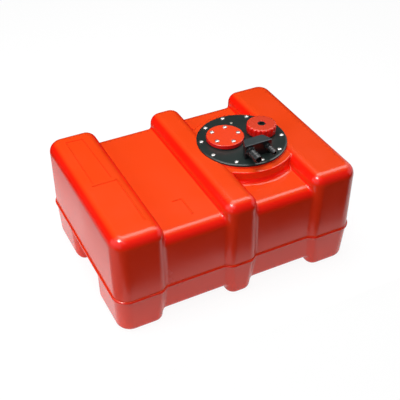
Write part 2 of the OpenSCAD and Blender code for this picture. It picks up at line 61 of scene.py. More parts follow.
camera.matrix_world = Matrix.Translation(camera_place) @ turn
bpy.context.scene.collection.objects.link(camera)
bpy.context.scene.camera = camera
bpy.context.scene.view_settings.view_transform = "Standard"


# Floor, backdrop and light.
# A white table in a dark studio, with soft boxes above, at the left and in front.
# Black cloths out of the camera's sight darken what the gloss mirrors, and a dimmed
# patch of table, a long light strip and a corner light draw its highlights.
def fresh_material(name):
    material = bpy.data.materials.new(name)
    material.use_nodes = True
    nodes = material.node_tree.nodes
    nodes.clear()
    output = nodes.new("ShaderNodeOutputMaterial")
    return material, nodes, material.node_tree.links, output


def feed(links, entry, value):
    """Sets a node's entry to a number, or links it to the socket that gives the value."""
    if isinstance(value, bpy.types.NodeSocket):
        links.new(value, entry)
    else:
        entry.default_value = value


def math_node(nodes, links, operation, *values):
    """The result of a sum on numbers and on other nodes' results."""
    node = nodes.new("ShaderNodeMath")
    node.operation = operation
    for entry, value in zip(node.inputs, values):
        feed(links, entry, value)
    return node.outputs[0]


def mix_surface(nodes, links, output, share, first, second):
    """Feeds the output with two shaders, of which the second shows by its share."""
    blend = nodes.new("ShaderNodeMixShader")
    for entry, result in zip(blend.inputs, (share, first.outputs[0], second.outputs[0])):
        links.new(result, entry)
    links.new(blend.outputs[0], output.inputs["Surface"])


def backdrop_rays(nodes, links):
    """1 on the rays that show the backdrop: straight, mirrored, and through glass."""
    path = nodes.new("ShaderNodeLightPath").outputs
    either = math_node(nodes, links, "MAXIMUM", path["Is Camera Ray"], path["Is Glossy Ray"])
    return math_node(nodes, links, "MAXIMUM", either, path["Is Transmission Ray"])


def stage_sheet(name, material, corners):
    sheet = bmesh.new()
    sheet.faces.new([sheet.verts.new(corner) for corner in corners])
    bmesh.ops.subdivide_edges(sheet, edges=sheet.edges[:], cuts=3, use_grid_fill=True)
    mesh = bpy.data.meshes.new(name)
    sheet.to_mesh(mesh)
    sheet.free()
    piece = bpy.data.objects.new(name, mesh)
    piece.data.materials.append(material)
    bpy.context.scene.collection.objects.link(piece)
    return piece


table_grey, table_glow, glow_share = 0.80, 1.065, 0.86
paper, nodes, links, output = fresh_material("white_table")
matt = nodes.new("ShaderNodeBsdfDiffuse")
matt.inputs["Color"].default_value = (table_grey, table_grey, table_grey, 1)
glow = nodes.new("ShaderNodeEmission")
glow.inputs["Color"].default_value = (1, 1, 1, 1)
glow.inputs["Strength"].default_value = table_glow
share = math_node(nodes, links, "MULTIPLY", backdrop_rays(nodes, links), glow_share)
mix_surface(nodes, links, output, share, matt, glow)
stage_sheet("floor", paper, ((-4, -4, 0), (4, -4, 0), (4, 4, 0), (-4, 4, 0)))

black_cloth, nodes, links, output = fresh_material("black_cloth")
matt = nodes.new("ShaderNodeBsdfDiffuse")
matt.inputs["Color"].default_value = (0.01, 0.01, 0.01, 1)
links.new(matt.outputs[0], output.inputs["Surface"])


def dark_flag(name, corners):
    """A black cloth that the object mirrors, out of the camera's sight."""
    flag = stage_sheet(name, black_cloth, corners)
    flag.visible_camera = False
    flag.visible_shadow = False
    flag.visible_transmission = False
    return flag


def mirrored_light(name, corners, strength):
    """A glowing sheet that shows only in the object's sheen."""
    material, nodes, links, output = fresh_material(name)
    glow = nodes.new("ShaderNodeEmission")
    glow.inputs["Strength"].default_value = strength
    links.new(glow.outputs[0], output.inputs["Surface"])
    sheet = dark_flag(name, corners)
    sheet.data.materials.clear()
    sheet.data.materials.append(material)
    sheet.visible_diffuse = False


table_left, table_front, table_back = -0.315, -0.28, 0.45
cloth_left, cloth_front, cloth_back = -2.5, -3.0, 3.0
on_table, above_table, ceiling = 0.002, 0.02, 3.2
strip_front, strip_back = 0.1, 1.85


def level_sheet(x0, x1, y0, y1, z):
    return ((x0, y0, z), (x1, y0, z), (x1, y1, z), (x0, y1, z))


def hanging_sheet(x0, x1, y):
    return ((x0, y, above_table), (x1, y, above_table), (x1, y, ceiling), (x0, y, ceiling))


dark_flag("flag_on_floor", level_sheet(-3, 3, cloth_front, table_front, on_table))
dark_flag("flag_behind", hanging_sheet(-4, 4, cloth_back))
dark_flag("flag_behind_strip", level_sheet(-4, 4, strip_back + 0.02, cloth_back, ceiling))
for name, corners in (
        ("flag_on_floor_behind", level_sheet(-3, 4, table_back, cloth_back, on_table)),
        ("flag_in_front", hanging_sheet(cloth_left, 4, cloth_front)),
        ("flag_above", level_sheet(cloth_left, 4, cloth_front, strip_front - 0.03, ceiling))):
    dark_flag(name, corners).visible_diffuse = False
mirrored_light("dim_table_left",
               level_sheet(-3, table_left, table_front, table_back, on_table), 0.42)
mirrored_light("light_strip", level_sheet(-0.6, 4, strip_front, strip_back, ceiling), 4.0)
mirrored_light("light_spot", level_sheet(-2.05, -1.15, -0.85, 0.05, ceiling - 0.2), 38.0)

world = bpy.data.worlds.new("studio")
bpy.context.scene.world = world
world.use_nodes = True
nodes = world.node_tree.nodes
links = world.node_tree.links
nodes.clear()
output = nodes.new("ShaderNodeOutputWorld")
room = nodes.new("ShaderNodeBackground")
room.inputs["Color"].default_value = (0.22, 0.22, 0.23, 1)
white = nodes.new("ShaderNodeBackground")
white.inputs["Color"].default_value = (1, 1, 1, 1)
mix_surface(nodes, links, output, backdrop_rays(nodes, links), room, white)
lamp_aim = Vector((0, 0, 0.1))


def soft_box(name, place, width, height, watts):
    lamp = bpy.data.lights.new(name, "AREA")
    lamp.shape = "RECTANGLE"
    lamp.size = width
    lamp.size_y = height
    lamp.energy = watts
    box = bpy.data.objects.new(name, lamp)
    box.location = place
    box.rotation_euler = (lamp_aim - Vector(place)).to_track_quat("-Z", "Y").to_euler()
    box.visible_glossy = False
    bpy.context.scene.collection.objects.link(box)


soft_box("soft_box_above", (-0.10, 0.15, 1.60), 1.3, 1.0, 21)
soft_box("soft_box_left", (-1.40, 0.10, 0.90), 0.9, 0.9, 7)
soft_box("soft_box_in_front", (-0.55, -1.00, 1.35), 0.5, 0.5, 6.5)


# Tank.
# One hollow rotomoulded piece of orange-red polyethylene: three ribs, two strap
# bands between them, feet underneath and a round pad for the hatch. Both mould
# halves draft towards the parting line.
mm = 0.001
tank_l, tank_w, tank_h = 500.0, 358.0, 223.0
parting_z = 83.0
shown_wall = 6.5
top_edge, foot_edge = 21.5, 12.0
left_rib = (-250.0, -151.0)
middle_rib = (-31.0, 35.0)
right_rib = (152.0, 250.0)
corner_round, rib_round = 28.0, 18.0
round_from, round_rise = 120.0, 80.0
end_draft, rib_draft = 4.0, 8.0
band_depth, band_floor = 9.0, 196.0
channel_h, gap_half, foot_round = 17.0, 49.0, 5.0
notch_in, notch_under = 36.0, 7.0
core_half, core_edge, core_bottom = 200.0, 3.0, channel_h + 1.2
hatch_x, hatch_r, hatch_from = 93.5, 66.0, 150.0
pad_r, pad_z, pad_edge, pad_deep = 103.0, 218.8, 1.8, 20.0
collar_r, collar_deep = 88.0, 15.0
inner_band_fillet, pad_fillet = 5.0, 12.0
crease_z, crease_run, crease_fillet = 213.0, 12.0, 4.0


def rounded_meet(a, b, r):
    """Distance to what two solids share, with their edge rounded to radius r."""
    corner = np.hypot(np.maximum(a + r, 0), np.maximum(b + r, 0))
    return np.minimum(np.maximum(a, b), -r) + corner


def filleted_join(a, b, r):
    """Distance to two solids together, with a hollow fillet of radius r."""
    corner = np.hypot(np.maximum(r - a, 0), np.maximum(r - b, 0))
    return np.maximum(np.minimum(a, b), r) - corner


def below_parting(z):
    return np.maximum(parting_z - z, 0) / parting_z


def rib_distance(x, y, z, ends, rounds, drafts):
    """Distance to a rib, whose upright rounds grow towards its top."""
    low = below_parting(z)
    x0 = ends[0] + drafts[0] * low
    x1 = ends[1] - drafts[1] * low
    middle = (x0 + x1) / 2
    r = np.where(x < middle, rounds[0], rounds[1])
    r = r + np.maximum(top_edge + 1 - r, 0) * np.clip((z - round_from) / round_rise, 0, 1)
    qx = np.abs(x - middle) - (x1 - x0) / 2 + r
    qy = np.abs(y) - (tank_w / 2 - end_draft * low) + r
    corner = np.hypot(np.maximum(qx, 0), np.maximum(qy, 0))
    plan = np.minimum(np.maximum(qx, qy), 0) + corner - r
    upright = np.abs(z - tank_h / 2) - tank_h / 2
    edge = np.where(z > tank_h / 2, top_edge, foot_edge)
    return rounded_meet(plan, upright, edge)


def core_distance(x, y, z):
    """Distance to the body between the ribs, whose faces are the strap bands."""
    face = np.abs(y) - (tank_w / 2 - band_depth - end_draft * below_parting(z))
    section = rounded_meet(face, z - band_floor, top_edge)
    section = rounded_meet(section, core_bottom - z, foot_edge)
    return rounded_meet(section, np.abs(x) - core_half, core_edge)


def gap_distance(y, z):
    """The lengthwise channel between the two rows of feet."""
    qy = np.abs(y) - gap_half + foot_edge
    qz = z - channel_h + foot_edge
    corner = np.hypot(np.maximum(qy, 0), np.maximum(qz, 0))
    return np.minimum(np.maximum(qy, qz), 0) + corner - foot_edge


def notch_distance(x, y, z):
    """The sloping notch between the feet at each end."""
    out = np.abs(x)
    flare_from = tank_l / 2 - corner_round
    flare = corner_round - np.sqrt(
        corner_round ** 2 - np.clip(out - flare_from, 0, corner_round - 0.3) ** 2)
    side = np.abs(y) - gap_half - flare
    rise = parting_z - notch_under - channel_h
    slope = ((z - channel_h) * notch_in - (out - tank_l / 2 + notch_in) * rise)
    slope = slope / math.hypot(notch_in, rise)
    back = tank_l / 2 - notch_in - out
    return np.maximum(np.maximum(slope, back), side)


def moulding_distance(x, y, z):
    """Distance to the outside; the pad meets the ribs in a crease that softens downwards."""
    ends = (corner_round, rib_round)
    ribs = np.minimum(
        rib_distance(x, y, z, left_rib, ends, (end_draft, rib_draft)),
        rib_distance(x, y, z, right_rib, ends[::-1], (rib_draft, end_draft)))
    ribs = np.minimum(ribs, rib_distance(
        x, y, z, middle_rib, (rib_round, rib_round), (rib_draft, rib_draft)))
    ribs = rounded_meet(ribs, -gap_distance(y, z), foot_round)
    ribs = rounded_meet(ribs, -notch_distance(x, y, z), foot_round)
    core = core_distance(x, y, z)
    from_hatch = np.hypot(x - hatch_x, y)
    pad = rounded_meet(from_hatch - pad_r, z - pad_z, pad_edge)
    pad = np.maximum(pad, band_floor - pad_deep - z)
    crease = crease_fillet * np.clip((crease_z - z) / crease_run, 0, 1) + 0.01
    body = np.minimum(filleted_join(core, ribs, inner_band_fillet),
                      filleted_join(core, pad, pad_fillet))
    return np.minimum(body, filleted_join(ribs, pad, crease))


def shell_distance(x, y, z):
    """Distance to the hollow moulding, solid round the hatch opening."""
    outside = moulding_distance(x, y, z)
    from_hatch = np.hypot(x - hatch_x, y)
    collar = np.maximum(from_hatch - collar_r, tank_h - collar_deep - z)
    cavity = np.maximum(outside + shown_wall, -collar)
    shell = np.maximum(outside, -cavity)
    return np.maximum(shell, -np.maximum(from_hatch - hatch_r, hatch_from - z))


def slope_of(distance, points, step=0.05):
    """How the distance grows at each point, along X, Y and Z."""
    x, y, z = points.T
    across = distance(x + step, y, z) - distance(x - step, y, z)
    along = distance(x, y + step, z) - distance(x, y - step, z)
    up = distance(x, y, z + step) - distance(x, y, z - step)
    return np.stack((across, along, up), axis=1) / (2 * step)


def skin_of(distance, low, high, pitch):
    """Vertices and quads on the surface where the distance is nil."""
    counts = [int(math.ceil((b - a) / pitch)) + 1 for a, b in zip(low, high)]
    axes = [a + pitch * np.arange(n) for a, n in zip(low, counts)]
    x, y, z = np.meshgrid(*axes, indexing="ij")
    field = distance(x, y, z)
    inside = field < 0
    cells = tuple(n - 1 for n in counts)
    total = np.zeros(cells + (3,))
    hits = np.zeros(cells)
    crossings = []
    for axis in range(3):
        near = [slice(None)] * 3
        far = [slice(None)] * 3
        near[axis] = slice(None, -1)
        far[axis] = slice(1, None)
        f0, f1 = field[tuple(near)], field[tuple(far)]
        crossed = inside[tuple(near)] != inside[tuple(far)]
        where = np.argwhere(crossed)
        f0, f1 = f0[crossed], f1[crossed]
        point = where.astype(float)
        point[:, axis] += f0 / (f0 - f1)
        others = [a for a in range(3) if a != axis]
        crossings.append((axis, where, f0 < 0))
        for da in (0, 1):
            for db in (0, 1):
                cell = where.copy()
                cell[:, others[0]] -= da
                cell[:, others[1]] -= db
                kept = np.all((cell >= 0) & (cell < np.array(cells)), axis=1)
                index = tuple(cell[kept].T)
                np.add.at(total, index, point[kept])
                np.add.at(hits, index, 1)
    used = hits > 0
    number = -np.ones(cells, int)
    number[used] = np.arange(used.sum())
    points = total[used] / hits[used][:, None] * pitch + np.array(low)
    quads = []
    for axis, where, leaving in crossings:
        others = [a for a in range(3) if a != axis]
        ring = []
        for da, db in ((0, 0), (1, 0), (1, 1), (0, 1)):
            cell = where.copy()
            cell[:, others[0]] -= da
            cell[:, others[1]] -= db
            ring.append(number[tuple(cell.T)])
        quad = np.stack(ring, axis=1)
        turned = leaving if axis != 1 else ~leaving
        quad[~turned] = quad[~turned][:, ::-1]
        quads.append(quad)
    return points, np.concatenate(quads)


def settled(distance, points, rounds=6):
    """Moves points along the slope until they lie on the surface."""
    for _ in range(rounds):
        slope = slope_of(distance, points)
        size = np.maximum((slope ** 2).sum(axis=1), 0.25)
        gap = distance(*points.T)
        points = points - (np.clip(gap, -1.5, 1.5) / size)[:, None] * slope
    return points


def mesh_piece(name, points, faces, normals=None):
    """A smooth-shaded piece from points in metres."""
    mesh = bpy.data.meshes.new(name)
    faces = np.asarray(faces)
    corners = faces.shape[1]
    mesh.vertices.add(len(points))
    mesh.vertices.foreach_set("co", np.asarray(points, np.float32).ravel())
    mesh.loops.add(faces.size)
    mesh.loops.foreach_set("vertex_index", faces.astype(np.int32).ravel())
    mesh.polygons.add(len(faces))
    mesh.polygons.foreach_set("loop_start", np.arange(0, faces.size, corners, dtype=np.int32))
    mesh.update(calc_edges=True)
    mesh.validate()
    mesh.shade_smooth()
    if normals is not None:
        mesh.normals_split_custom_set_from_vertices(normals.tolist())
    piece = bpy.data.objects.new(name, mesh)
    bpy.context.scene.collection.objects.link(piece)
    return piece


def moulded(name, distance, low, high, pitch, step=0.04):
    """A piece whose skin is where its distance is nil, with the slope there as normals."""
    points, faces = skin_of(distance, low, high, pitch)
    points = settled(distance, points)
    normals = slope_of(distance, points, step)
    normals = normals / np.maximum(np.linalg.norm(normals, axis=1), 0.001)[:, None]
    return mesh_piece(name, points * mm, faces, normals)


def socket(group, way, name, kind, value=None):
    item = group.interface.new_socket(name=name, in_out=way, socket_type=kind)
    if value is not None:
        item.default_value = value


def noise_node(nodes, links, place, scale, detail):
    noise = nodes.new("ShaderNodeTexNoise")
    noise.inputs["Detail"].default_value = detail
    links.new(place, noise.inputs["Vector"])
    feed(links, noise.inputs["Scale"], scale)
    return noise.outputs["Fac"]


def moulded_skin_group():
    """Colour drift, gloss drift and a fine pebbled height of a moulded plastic skin."""
    group = bpy.data.node_groups.new("moulded_skin", "ShaderNodeTree")
    socket(group, "INPUT", "Base", "NodeSocketColor", (0.8, 0.1, 0.05, 1))
    socket(group, "INPUT", "Drift", "NodeSocketFloat", 0.05)
    socket(group, "INPUT", "Gloss", "NodeSocketFloat", 0.3)
    socket(group, "INPUT", "Pebble Size", "NodeSocketFloat", 900.0)
    socket(group, "OUTPUT", "Color", "NodeSocketColor")
    socket(group, "OUTPUT", "Roughness", "NodeSocketFloat")
    socket(group, "OUTPUT", "Height", "NodeSocketFloat")
    nodes, links = group.nodes, group.links
    given = nodes.new("NodeGroupInput").outputs
    result = nodes.new("NodeGroupOutput").inputs
    place = nodes.new("ShaderNodeTexCoord").outputs["Object"]
    centred = math_node(nodes, links, "SUBTRACT", noise_node(nodes, links, place, 9, 4), 0.5)
    amount = math_node(nodes, links, "MULTIPLY", centred, given["Drift"])
    shade = nodes.new("ShaderNodeHueSaturation")
    links.new(given["Base"], shade.inputs["Color"])
    links.new(math_node(nodes, links, "ADD", amount, 1.0), shade.inputs["Value"])
    links.new(shade.outputs["Color"], result["Color"])
    fine = noise_node(nodes, links, place, given["Pebble Size"], 2)
    wave = noise_node(nodes, links, place, 26, 1)
    height = math_node(nodes, links, "MULTIPLY_ADD", wave, 6.0, fine)
    links.new(height, result["Height"])
    rough = math_node(nodes, links, "MULTIPLY_ADD", centred, 0.25, given["Gloss"])
    links.new(rough, result["Roughness"])
    return group


moulded_skin = moulded_skin_group()


def painted_facing_light_group():
    """Painted light and shade by facing: level faces are painted paler, rounded edges deeper and
    upright faces darker, standing in for how the lamps light them.
    """
    group = bpy.data.node_groups.new("painted_facing_light", "ShaderNodeTree")
    socket(group, "INPUT", "Level", "NodeSocketColor", (0.9, 0.07, 0.015, 1))
    socket(group, "INPUT", "Edge", "NodeSocketColor", (0.9, 0.015, 0.003, 1))
    socket(group, "INPUT", "Upright", "NodeSocketColor", (0.86, 0.034, 0.006, 1))
    socket(group, "OUTPUT", "Color", "NodeSocketColor")
    nodes, links = group.nodes, group.links
    given = nodes.new("NodeGroupInput").outputs
    result = nodes.new("NodeGroupOutput").inputs
    facing = nodes.new("ShaderNodeNewGeometry")
    parts = nodes.new("ShaderNodeSeparateXYZ")
    links.new(facing.outputs["Normal"], parts.inputs["Vector"])
    color = given["Upright"]
    # Painted light: the colour goes from upright to edge to level as the face turns upwards.
    for low, high, name in ((0.05, 0.45, "Edge"), (0.72, 0.99, "Level")):
        share = nodes.new("ShaderNodeMapRange")
        share.interpolation_type = "SMOOTHSTEP"
        share.inputs["From Min"].default_value = low
        share.inputs["From Max"].default_value = high
        links.new(parts.outputs["Z"], share.inputs["Value"])
        blend = nodes.new("ShaderNodeMix")
        blend.data_type = "RGBA"
        links.new(share.outputs["Result"], blend.inputs["Factor"])
        links.new(color, blend.inputs["A"])
        links.new(given[name], blend.inputs["B"])
        color = blend.outputs["Result"]
    links.new(color, result["Color"])
    return group


painted_facing_light = painted_facing_light_group()


def finish(name, color, gloss, drift, pebble_size, pebble_height,
           edge=None, upright=None, metallic=0.0):
    """A moulded skin; edge and upright are painted-shade colours for its rounded edges and upright
    faces, which take over from the level colour by how far a face looks up.
    """
    material, nodes, links, output = fresh_material(name)
    skin = nodes.new("ShaderNodeGroup")
    skin.node_tree = moulded_skin
    skin.inputs["Base"].default_value = color + (1,)
    # Painted light and shade: rounded edges and upright faces get darker colours than level ones.
    if edge:
        facing_paint_node = nodes.new("ShaderNodeGroup")
        facing_paint_node.node_tree = painted_facing_light
        facing_paint_node.inputs["Level"].default_value = color + (1,)
        facing_paint_node.inputs["Edge"].default_value = edge + (1,)
        facing_paint_node.inputs["Upright"].default_value = upright + (1,)
        links.new(facing_paint_node.outputs["Color"], skin.inputs["Base"])
    skin.inputs["Gloss"].default_value = gloss
    skin.inputs["Drift"].default_value = drift
    skin.inputs["Pebble Size"].default_value = pebble_size
    shader = nodes.new("ShaderNodeBsdfPrincipled")
    shader.inputs["Metallic"].default_value = metallic
    links.new(skin.outputs["Color"], shader.inputs["Base Color"])
    links.new(skin.outputs["Roughness"], shader.inputs["Roughness"])
    bump = nodes.new("ShaderNodeBump")
    bump.inputs["Strength"].default_value = 1.0
    bump.inputs["Distance"].default_value = pebble_height
    links.new(skin.outputs["Height"], bump.inputs["Height"])
    links.new(bump.outputs["Normal"], shader.inputs["Normal"])
    links.new(shader.outputs[0], output.inputs["Surface"])
    return material


# Painted light: the level colour is a paler orange for the lit tops, and the edge and upright
# colours are deeper red for the shaded flanks.
tank_plastic = finish("orange_red_polyethylene", (0.78, 0.054, 0.006), 0.22, 0.06, 900.0,
                      0.000004, (0.88, 0.010, 0.002), (0.84, 0.034, 0.006))
tank = moulded("tank", shell_distance, (-tank_l / 2 - 4, -tank_w / 2 - 4, -3.3),
               (tank_l / 2 + 4, tank_w / 2 + 4, tank_h + 4), 3.5, 0.05)
tank.data.materials.append(tank_plastic)
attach(tank, "tank")
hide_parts("tank_shell")


# Hatch seat.
# A low ring on the pad that the hatch plate's gasket lies on. It is part of the
# tank's moulding, in the same orange-red, and ends 1 mm under the rib tops.
seat_in, seat_out, seat_z = 67.5, 88.3, 222.0


def round_ring(name, centre, profile, count=144):
    """Sweeps a closed profile of radii and heights round a centre."""
    angle = 2 * math.pi * np.arange(count) / count
    points = [[centre[0] + r * np.cos(angle), centre[1] + r * np.sin(angle), np.full(count, z)]
              for r, z in profile]
    points = np.array(points).transpose(2, 0, 1).reshape(-1, 3)
    sides = len(profile)
    faces = []
    for a in range(count):
        b = (a + 1) % count
        for i in range(sides):
            j = (i + 1) % sides
            faces.append((a * sides + i, b * sides + i, b * sides + j, a * sides + j))
    return mesh_piece(name, points * mm, faces)


seat_profile = ((seat_in, pad_z - 3), (seat_out, pad_z - 3), (seat_out, seat_z - 0.5),
                (seat_out - 0.15, seat_z - 0.15), (seat_out - 0.5, seat_z), (seat_in, seat_z))
seat = round_ring("tank_hatch_seat", (hatch_x, 0), seat_profile)
seat.data.materials.append(tank_plastic)
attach(seat, "tank")


# Parting lip.
# The flash rail that the two mould halves leave all round the tank. It is part of
# the moulding: a rounded bead 7 mm high that stands 2.5 mm out of the upper wall.
lip_out, lip_step = 2.5, 2.5
lip_profile = ((-2.0, 83.4), (0.4, 83.0), (1.5, 82.6), (2.2, 81.8), (lip_out, 80.6),
               (lip_out, 78.4), (2.2, 77.2), (1.5, 76.4), (0.4, 76.0), (-6.0, 76.0))


def front_wall(x, z):
    """Where the front wall lies at each x, at one height."""
    near = np.full_like(x, -tank_w / 2 - 3)
    deep = np.full_like(x, -tank_w / 2 + 40)
    for _ in range(40):
        middle = (near + deep) / 2
        out = moulding_distance(x, middle, np.full_like(x, z)) > 0
        near = np.where(out, middle, near)
        deep = np.where(out, deep, middle)
    return (near + deep) / 2


def body_outline(z, spacing):
    """Points all round the body at one height, evenly spaced, and their outward directions."""
    flat_end = tank_l / 2 - corner_round
    x = np.arange(-flat_end, flat_end + 0.1, 0.25)
    front = np.stack((x, front_wall(x, z)), axis=1)
    angle = np.radians(np.arange(-89, 0, 2))
    arc = np.stack((flat_end + corner_round * np.cos(angle),
                    -tank_w / 2 + corner_round + corner_round * np.sin(angle)), axis=1)
    right_front = np.concatenate((arc, [[tank_l / 2, -tank_w / 2 + corner_round]]))
    right_end = np.concatenate((right_front, right_front[::-1] * (1, -1)))
    back = front[::-1] * (1, -1)
    left_end = right_end[::-1] * (-1, 1)
    loop = np.concatenate((front, right_end, back, left_end))
    closed = np.concatenate((loop, loop[:1]))
    run = np.concatenate(([0], np.cumsum(np.linalg.norm(np.diff(closed, axis=0), axis=1))))
    count = int(run[-1] / spacing)
    at = np.linspace(0, run[-1], count, endpoint=False)
    even = np.stack([np.interp(at, run, closed[:, i]) for i in (0, 1)], axis=1)
    ahead = np.roll(even, -1, axis=0) - np.roll(even, 1, axis=0)
    ahead = ahead / np.linalg.norm(ahead, axis=1)[:, None]
    return even, np.stack((ahead[:, 1], -ahead[:, 0]), axis=1)


def swept_ring(loop, outward, profile):
    """Sweeps a closed profile, given as pairs of distance outwards and height, round a loop."""
    count, sides = len(loop), len(profile)
    rings = np.zeros((count, sides, 3))
    for i, (out, z) in enumerate(profile):
        rings[:, i, :2] = loop + outward * out
        rings[:, i, 2] = z
    faces = []
    for a in range(count):
        b = (a + 1) % count
        for i in range(sides):
            j = (i + 1) % sides
            faces.append((a * sides + i, a * sides + j, b * sides + j, b * sides + i))
    return rings.reshape(-1, 3), faces


loop, outward = body_outline(parting_z + 0.5, lip_step)
points, faces = swept_ring(loop, outward, lip_profile)
lip = mesh_piece("tank_parting_lip", points * mm, faces)
lip.data.materials.append(tank_plastic)
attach(lip, "tank")


# Panel lines.
# Fine raised lines that frame flat panels on the left-hand rib and in the left-hand
# strap band. They are moulded with the tank, 1 mm high.
line_high, line_half, line_sunk, line_ease = 1.0, 0.7, 0.3, 3.0


def raised_line(points, z, ease=0.0):
    """A raised line through flat points at height z, whose left side eases away."""
    points = [Vector(point) for point in points]
    rows = []
    for i, point in enumerate(points):
        before = (point - points[i - 1]).normalized() if i > 0 else None
        after = (points[i + 1] - point).normalized() if i < len(points) - 1 else None
        way = ((before or after) + (after or before)).normalized()
        across = Vector((-way.y, way.x))
        stretch = 1.0
        if before is not None and after is not None:
            stretch = 1 / max(0.3, before.dot(way))
        left = line_half + ease
        profile = ((-line_half, -line_sunk), (-line_half, 0.02), (-line_half * 0.5, line_high),
                   (line_half * 0.5, line_high), (left, 0.02), (left, -line_sunk))
        rows.append([(point.x + across.x * out * stretch, point.y + across.y * out * stretch,
                      z + up) for out, up in profile])
    return rows


def skinned(name, strips, closed=False, sharp=math.radians(35)):
    """Skins one or more stacks of rings that have equal numbers of points."""
    skin = bmesh.new()
    for rings in strips:
        rows = [[skin.verts.new(Vector(point) * mm) for point in ring] for ring in rings]
        pairs = list(zip(rows, rows[1:]))
        if closed:
            pairs.append((rows[-1], rows[0]))
        for lower, upper in pairs:
            for i in range(len(lower)):
                j = (i + 1) % len(lower)
                skin.faces.new((lower[i], lower[j], upper[j], upper[i]))
        if not closed:
            skin.faces.new(rows[0][::-1])
            skin.faces.new(rows[-1])
    bmesh.ops.recalc_face_normals(skin, faces=skin.faces[:])
    for edge in skin.edges:
        edge.smooth = edge.calc_face_angle(0) < sharp
    mesh = bpy.data.meshes.new(name)
    skin.to_mesh(mesh)
    skin.free()
    mesh.shade_smooth()
    piece = bpy.data.objects.new(name, mesh)
    bpy.context.scene.collection.objects.link(piece)
    return piece


rear_panel = ((-218, -1), (-218, 146), (-185, 143.5), (-180.5, 2.5))
front_panel = ((-223, -9.5), (-174.5, -9.3), (-175.4, -138))
band_panel = ((-97.5, -83), (-79.2, -83.4), (-80, -131))
lines = skinned("tank_panel_lines", [
    raised_line(rear_panel, tank_h),
    raised_line(front_panel, tank_h, line_ease),
    raised_line(band_panel, band_floor, line_ease)])
lines.data.materials.append(tank_plastic)
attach(lines, "tank")


# Hatch inserts.
# Ten knurled brass inserts with blind threads, moulded into the pad round the
# opening, flush with the seat.
def metal(name, color, gloss, knurl_scale, knurl_height, share=1.0):
    """A metal with fine turning marks; below a full share it is satin instead of bright."""
    return finish(name, color, gloss, 0.12, knurl_scale, knurl_height, metallic=share)


def dressed(material, *names):
    """Gives CAD nodes of the right shape their finish."""
    for name in names:
        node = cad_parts[name]
        node.data.materials.clear()
        node.data.materials.append(material)


brass = metal("brass", (0.62, 0.42, 0.16), 0.34, 1800.0, 0.00003)
dressed(brass, "hatch_inserts")


# Hatch gasket.
# A flat ring of black rubber sheet with ten holes, squeezed between the pad and
# the plate.
rubber = finish("gasket_rubber", (0.018, 0.019, 0.019), 0.68, 0.2, 2600.0, 0.00002)
dressed(rubber, "hatch_gasket")


# Hatch plate.
# A round plate of black glass-filled nylon, moulded with the raised ring of the
# gauge port and the threaded filler neck, and screwed down on its gasket.
plate_z, plate_r, plate_t, plate_edge = 223.0, 89.0, 3.5, 0.6
deck_z = plate_z + plate_t
screw_circle, screw_count, screw_first = 80.0, 10, 18.0
screw_hole = 2.8
port_angle = math.radians(157)
port_off, port_ring_r, port_ring_h, port_bore = 32.9, 35.2, 4.5, 20.0
port_x, port_y = port_off * math.cos(port_angle), port_off * math.sin(port_angle)
port_circle, port_count, port_first = 27.0, 5, 63.0
port_boss_r, port_insert_r = 32.5, 3.7
neck_angle = math.radians(6)
neck_off, neck_r, neck_bore, neck_h = 47, 20.5, 17.5, 14.5
neck_x, neck_y = neck_off * math.cos(neck_angle), neck_off * math.sin(neck_angle)
foot_fillet = 1.2
tail_off, outlet_y, vent_outlet_r, fuel_outlet_r = 19.0, -54.0, 5.5, 4.55
block_screw_spots = ((-6.5, -58), (6.5, -58), (0, -47))
stud_x, stud_y, stud_hole = 8.0, 57.0, 2.05


def hole_ring(x, y, count, circle, first, hole):
    """Distance outside a ring of like holes, positive inside them."""
    step = 2 * math.pi / count
    angle = np.arctan2(y, x) - math.radians(first)
    folded = (angle + step / 2) % step - step / 2
    r = np.hypot(x, y)
    return hole - np.hypot(r * np.cos(folded) - circle, r * np.sin(folded))


def plate_distance(x, y, z):
    """Distance to the plate with its port ring and neck, bored for all that it carries."""
    x = x - hatch_x
    z = z - plate_z
    r = np.hypot(x, y)
    bevel = z - plate_t + 0.3 * np.clip(r - plate_r + 3.0, 0, 4)
    disc = rounded_meet(r - plate_r, bevel, plate_edge)
    disc = rounded_meet(disc, -z, 0.3)
    from_port = np.hypot(x - port_x, y - port_y)
    ring = rounded_meet(from_port - port_ring_r, z - plate_t - port_ring_h, 0.9)
    ring = np.maximum(ring, 0.4 - z)
    boss = np.maximum(from_port - port_boss_r, np.maximum(-2 - z, z - 1))
    from_neck = np.hypot(x - neck_x, y - neck_y)
    neck = rounded_meet(from_neck - neck_r, z - plate_t - neck_h, 0.6)
    neck = np.maximum(neck, 0.4 - z)
    body = filleted_join(filleted_join(disc, ring, foot_fillet), neck, foot_fillet)
    body = np.minimum(body, boss)
    body = np.maximum(body, port_bore - from_port)
    body = np.maximum(body, neck_bore - from_neck)
    body = np.maximum(body, hole_ring(x, y, screw_count, screw_circle, screw_first, screw_hole))
    inserts = hole_ring(x - port_x, y - port_y, port_count, port_circle, port_first,
                        port_insert_r)
    body = np.maximum(body, np.minimum(inserts, z + 0.5))
    for side, outlet_r in ((-1, vent_outlet_r), (1, fuel_outlet_r)):
        body = np.maximum(body, outlet_r - np.hypot(x - side * tail_off, y - outlet_y))
    for hole_x, hole_y in block_screw_spots:
        body = np.maximum(body, screw_hole - np.hypot(x - hole_x, y - hole_y))
    return np.maximum(body, stud_hole - np.hypot(x - stud_x, y - stud_y))


black_nylon = finish("black_nylon", (0.014, 0.022, 0.020), 0.30, 0.45, 1500.0, 0.00003)
plate = moulded("hatch_plate", plate_distance,
                (hatch_x - plate_r - 2, -plate_r - 2, plate_z - 3.1),
                (hatch_x + plate_r + 2, plate_r + 2, deck_z + neck_h + 2), 1.15)
plate.data.materials.append(black_nylon)
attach(plate, "tank")
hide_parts("hatch_plate")


# Neck thread.
# The thread that the filler cap turns on: one helix of 2.6 turns in the same black
# nylon, moulded with the neck and thinned out at both ends.
thread_r, thread_pitch, thread_turns, thread_from = 21.7, 4.0, 2.6, 2.8


